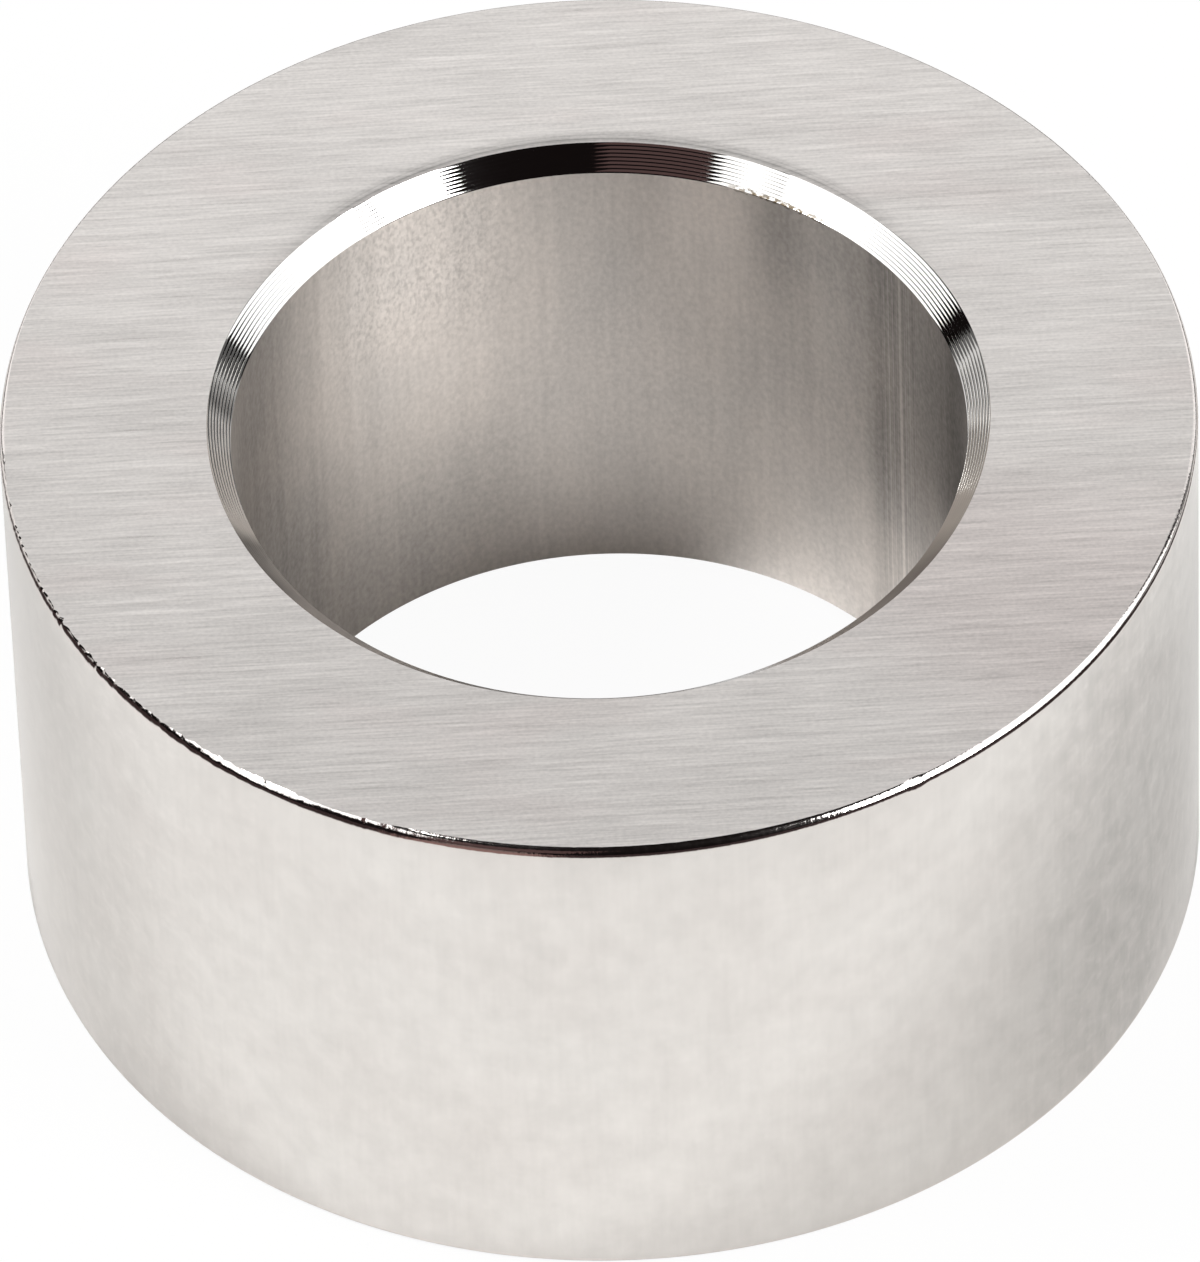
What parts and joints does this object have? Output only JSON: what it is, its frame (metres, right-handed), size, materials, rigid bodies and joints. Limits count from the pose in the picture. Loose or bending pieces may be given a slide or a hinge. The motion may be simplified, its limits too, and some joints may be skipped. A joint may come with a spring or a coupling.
{
  "type": "spacer sleeve",
  "caption": "Short plain metal ring with a chamfered through bore and flat end faces, which keeps two parts a fixed distance apart on a screw or shaft.",
  "frame": {"origin": "centre of the lower end face, on the axis of the bore", "axes": "+Z along the axis, from the lower end face to the upper one"},
  "size_m": [0.026, 0.026, 0.013],
  "materials": {
    "bright_steel": "end faces ground with straight fine lines, chamfers turned bright, outside polished, bore matt as drawn"
  },
  "bodies": {
    "root": {"spacer_sleeve": "bright_steel"}
  },
  "joints": []
}
